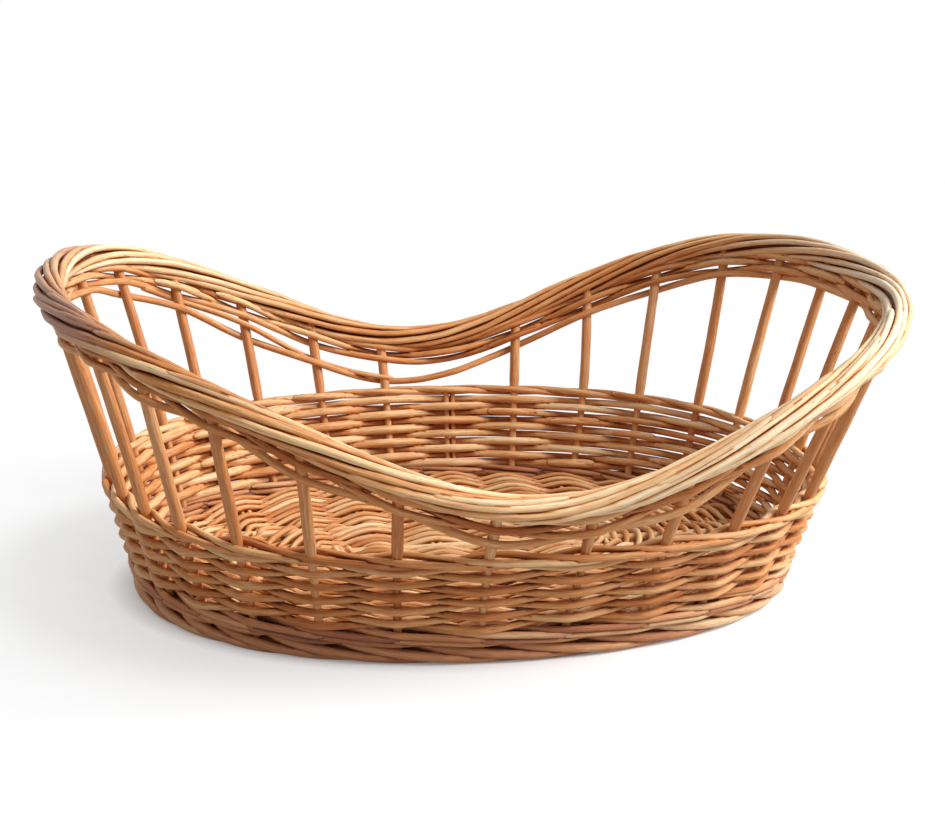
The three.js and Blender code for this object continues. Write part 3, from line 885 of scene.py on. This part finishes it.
border = {  # runs, places and starts count stakes, the angles are in radians
    "run": 9.4, "runSpread": 0.5, "before": 0.2, "stepsPerStake": 14, "turnEvery": 8.4,
    "leftTwist": -0.05, "startAngle": -1.2, "angleSpread": 0.07, "wander": (0.08, 0.8, 2.4),
    "ring": 5.0, "alternate": 0.25, "endWider": 0.12, "butt": 1.95, "tip": 1.5,
    "thickness": (0.87, 1.13), "startDepth": 1.3, "startOver": 0.7, "sink": 2.8,
    "sinkAfter": 5.2, "endDepth": 1.6, "endOver": 1.2, "cut": (8, 8),
    # tones by place, own tone with painted light and shade in it, and grey in the shade at the
    # left end and at the right-hand end
    "placeToneAndLight": ((0, 1.0), (2, 0.76), (5, 0.52), (8, 0.56), (11, 0.76), (14, 0.82), (15.2, 0.66),
              (16.5, 0.5), (19, 0.54), (21, 0.68), (23, 0.82), (26, 0.9), (30, 1.0)),
    "toneSpread": 0.06, "toneRange": (0.25, 1.0), "shade": 0.5, "shadeFrom": 0.82,
    "shadeUnder": 0.3, "shadeTone": 0.3, "rightShade": 0.22, "rightFrom": 0.8,
    "shadeOver": 0.16, "coreRadius": 3.7, "coreShadeTone": 0.15, "seed": 63,
    # rods that start late and on the outside, at the front left
    "proud": (14, 17), "proudStart": 1.1, "proudBy": 0.2, "proudCut": (4, 8),
    # cut tips left on top: place, angle, and 1 for a rod's end or -1 for its beginning
    "tips": ((24.9, 1.25, 1), (25.8, 1.9, 1), (26.7, 1.5, 1), (27.6, 2.0, 1), (28.5, 1.6, 1),
             (29.3, 2.1, 1), (30.3, 1.7, 1), (22.7, 1.2, 1), (15.7, 1.1, -1),
             (16.4, 0.7, -1), (17.3, 1.0, -1), (18.5, 0.8, -1)),
    "tipLength": 2.1, "tipSteps": 30, "tipRadius": 1.55, "tipAbove": 1.2, "tipSink": 3.2,
    "tipSinkFrom": 0.7, "tipSinkOver": 1.4, "tipGrey": 0.1, "tipCut": (0, 7),
}


def roundRim(where, reach, angle):  # points round the rim's middle line
    def middle(place):
        return wallPoint(planAngle(place), borderLine(place))

    ahead = unit(middle(where + 0.05) - middle(where - 0.05))
    flat = unit(np.stack([ahead[:, 1], -ahead[:, 0], np.zeros(len(where))], -1))
    up = unit(np.cross(flat, ahead))
    return middle(where) + flat * (reach * np.cos(angle))[:, None] + up * (
        reach * np.sin(angle))[:, None]


def leftShade(where):
    return border["shade"] * smoothStep(
        (-np.cos(planAngle(where)) - border["shadeFrom"]) / border["shadeOver"])


def layBorder():
    # Each stake's top is bent over and laid along the rim with the ones before it. It climbs
    # the outside, goes over the top and sinks under the newer ones after nearly one turn.
    rng = np.random.default_rng(border["seed"])
    fine = np.linspace(-2, basket["stakes"] * 1.5, 1200)
    left = np.maximum(0, -np.cos(planAngle(fine))) ** 5
    speed = (1 + border["leftTwist"] * left) * 2 * np.pi / border["turnEvery"]
    turned = np.concatenate([[0], np.cumsum((speed[1:] + speed[:-1]) / 2 * np.diff(fine))])
    places, placeToneAndLight = np.array(border["placeToneAndLight"]).T

    def shadedTone(where, grey):
        tone = np.interp(where % basket["stakes"], places, placeToneAndLight) + rng.normal(
            0, border["toneSpread"])
        return np.clip(tone - border["shadeTone"] * grey, *border["toneRange"])

    rods = []
    for i in range(basket["stakes"]):
        proud = i in border["proud"]
        begin = border["proudStart"] if proud else -border["before"]
        run = border["run"] + rng.uniform(-border["runSpread"], border["runSpread"])
        where = np.linspace(i + begin, i + run, int(run * border["stepsPerStake"]))
        gone = where - i
        turn = np.interp(where, fine, turned) - np.interp(i, fine, turned)
        angle = border["startAngle"] + rng.normal(0, border["angleSpread"]) + turn + drift(
            where, border["wander"], i)
        reach = border["ring"] + border["alternate"] * (-1) ** i
        reach = reach + (border["proudBy"] if proud else -border["startDepth"]) * smoothStep(
            1 - (gone - begin) / border["startOver"])
        reach = reach * (1 + border["endWider"] * np.cos(planAngle(where)) ** 6)
        reach = reach - border["sink"] * smoothStep(turn - border["sinkAfter"])
        reach = reach - border["endDepth"] * smoothStep(1 - (run - gone) / border["endOver"])
        radius = tapered(border, len(where)) * rng.uniform(*border["thickness"])
        under = border["shadeUnder"]
        grey = leftShade(where) * (under + (1 - under) * smoothStep(0.5 + 0.8 * np.cos(angle)))
        tone = shadedTone(where, grey)
        grey = grey + border["rightShade"] * smoothStep(
            (np.cos(planAngle(where)) - border["rightFrom"]) / border["shadeOver"])
        rods.append(willowRod(roundRim(where, reach, angle), radius, tone, grey,
                              border["proudCut"] if proud else border["cut"]))
    for at, over, way in border["tips"]:
        back = np.linspace(border["tipLength"], 0, border["tipSteps"])
        where = at - way * back
        angle = over - way * back * 2 * np.pi / border["turnEvery"]
        reach = border["ring"] + border["tipAbove"] - border["tipSink"] * smoothStep(
            (back - border["tipSinkFrom"]) / border["tipSinkOver"])
        grey = leftShade(where)
        rods.append(willowRod(roundRim(where, reach, angle), border["tipRadius"],
                              shadedTone(where, grey), border["tipGrey"] + grey,
                              border["tipCut"]))
    rods.append(innerRing(borderLine(ringPlaces), border["coreRadius"], border["coreShadeTone"]))
    growRods("rimBorder", rods, borderFinish, "willow_border",
             numbered("border_rod", basket["borderRods"]), step=0.0025, sides=10, waver=0.0008,
             waverSize=0.05, lumps=0.18, seed=7.0)


layBorder()

foot = {
    "from": -0.25, "to": 2.9, "toSpread": 0.1, "placeSpread": 0.08, "steps": 54,
    "radius": 2.35, "thickness": (0.93, 1.05), "clear": 1.02, "middle": 5.0, "cut": (3, 3),
    # outward and upward at each half stake along a rod, from half a stake before its own
    "course": ((-3.2, 9.8), (-2.6, 9.5), (2.8, 8.1), (4.2, 5.6), (4.0, 3.7), (2.6, 2.6),
               (0.6, 2.4), (-1.4, 2.4), (-2.8, 2.4)),
    "tone": 0.42, "toneSpread": 0.08, "grey": 0.18, "paler": (0.16, 0.1, 0.0),
    "coreRadius": 2.6, "coreShadeTone": 0.1, "seed": 74,
}


def layFoot():
    # A rod comes out of the foot beside each stake, runs down round the outside and is lost
    # under the ones that follow.
    rng = np.random.default_rng(foot["seed"])
    rods = []
    for i in range(basket["stakes"]):
        end = foot["to"] + rng.uniform(-foot["toSpread"], foot["toSpread"])
        where = np.linspace(foot["from"], end, foot["steps"])
        outward, upward = throughCourse(where + 0.5, foot["course"])
        # the foot is paler at the front on the right and at the back left: painted light
        tone = drawTone(rng, foot) + paler(where + i, foot["paler"])
        radius = foot["radius"] * rng.uniform(*foot["thickness"])
        shift = rng.uniform(-foot["placeSpread"], foot["placeSpread"])
        points = onWall(where + i + shift, foot["middle"], outward)
        points[:, 2] = np.maximum(upward, radius * foot["clear"])
        rods.append(willowRod(points, radius, tone, foot["grey"], foot["cut"]))
    rods.append(innerRing(foot["middle"], foot["coreRadius"], foot["coreShadeTone"]))
    growRods("footBorder", rods, footFinish, "willow_foot",
             numbered("foot_rod", basket["footRods"]), step=0.002, sides=10, waver=0.0001,
             lumps=0.05, seed=8.0)


layFoot()

floorWeave = {
    "radius": 1.65, "wave": 2.5, "crest": 0.5, "inset": 0.3, "perMillimetre": 1.6 / 2.2,
    "fewest": 60, "overlap": 0.05, "cut": (3, 3), "tone": 0.64, "toneSpread": 0.08,
    "ribs": 10, "ribApart": 1.9, "ribRadius": 1.71, "ribInset": 1, "ribTone": 0.7,
    "ribSteps": 40, "lastRib": 0.96, "lastStick": 0.9, "seed": 85,
}


def weaveFloor():
    # Rings of thin weavers that pass over and under the short ribs and the sticks.
    rng = np.random.default_rng(floorWeave["seed"])
    level, spacing = levels["floor"], basket["baseStickSpacing"]
    inset = levels["floorEdge"] + floorWeave["inset"]
    edgeLength = basket["halfLength"] + basket["endFlare"] * level - inset
    edgeWidth = basket["halfWidth"] + basket["sideFlare"] * level - inset
    half = floorWeave["ribs"] // 2
    ribsX = [spacing * (k + 0.5) for k in range(-half, half)]
    whole, rods = 2 * math.pi, []
    for ring in range(int(edgeWidth / basket["weaverDiameter"])):
        halfWidth = edgeWidth - ring * basket["weaverDiameter"]
        halfLength = edgeLength - ring * basket["weaverDiameter"]
        ribs = [math.acos(x / halfLength) for x in ribsX
                if abs(x) < halfLength * floorWeave["lastRib"]]
        sticks = [math.asin(y / halfWidth) for y in (-spacing, 0, spacing)
                  if abs(y) < halfWidth * floorWeave["lastStick"]]
        crossings = np.sort(np.array(ribs + [-a for a in ribs] + sticks + [
            math.pi - a for a in sticks]) % whole)
        count = max(floorWeave["fewest"],
                    int(2 * (halfLength + halfWidth) * floorWeave["perMillimetre"]))
        t = rng.uniform(0, whole) + np.linspace(0, whole + floorWeave["overlap"], count)
        loop = np.concatenate([crossings + whole * turn for turn in (-1, 0, 1, 2)])
        order = np.interp(t, loop, np.arange(len(loop), dtype=float))
        fuller = 1 + basket["cornerFullness"] * np.sin(2 * t) ** 2
        z = level + floorWeave["wave"] * np.cos(np.pi * (order + ring)) + floorWeave[
            "crest"] * np.cos(np.pi * order * 2)
        points = np.stack([halfLength * np.cos(t) * fuller, halfWidth * np.sin(t) * fuller, z],
                          -1)
        rods.append(willowRod(points, floorWeave["radius"], drawTone(rng, floorWeave),
                              cut=floorWeave["cut"]))
    for x in ribsX:  # short ribs, laid in pairs
        y = edgeWidth * math.sqrt(1 - (x / edgeLength) ** 2) - floorWeave["ribInset"]
        for at in (x - floorWeave["ribApart"], x + floorWeave["ribApart"]):
            points = np.linspace((at, -y, level), (at, y, level), floorWeave["ribSteps"])
            rods.append(willowRod(points, floorWeave["ribRadius"], floorWeave["ribTone"]))
    growRods("floorWeave", rods, floorFinish, "willow_base", ["base_weave"], step=0.0024,
             sides=7, waver=0.0004, seed=9.0)


floorSticks = {"radius": 2.2, "lower": 1.6, "steps": 60, "tone": 0.7, "cut": (3, 3)}


def layFloorSticks():
    rods = []
    for n in range(basket["baseSticks"]):
        low, high = (np.array(c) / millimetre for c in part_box(f"base_stick_{n + 1:02d}"))
        y, z = (low[1] + high[1]) / 2, (low[2] + high[2]) / 2 - floorSticks["lower"]
        points = np.linspace((low[0], y, z), (high[0], y, z), floorSticks["steps"])
        rods.append(willowRod(points, floorSticks["radius"], floorSticks["tone"],
                              cut=floorSticks["cut"]))
    growRods("floorSticks", rods, floorFinish, "willow_base",
             numbered("base_stick", basket["baseSticks"]), step=0.003, sides=10, waver=0.0005,
             seed=10.0)


weaveFloor()
layFloorSticks()
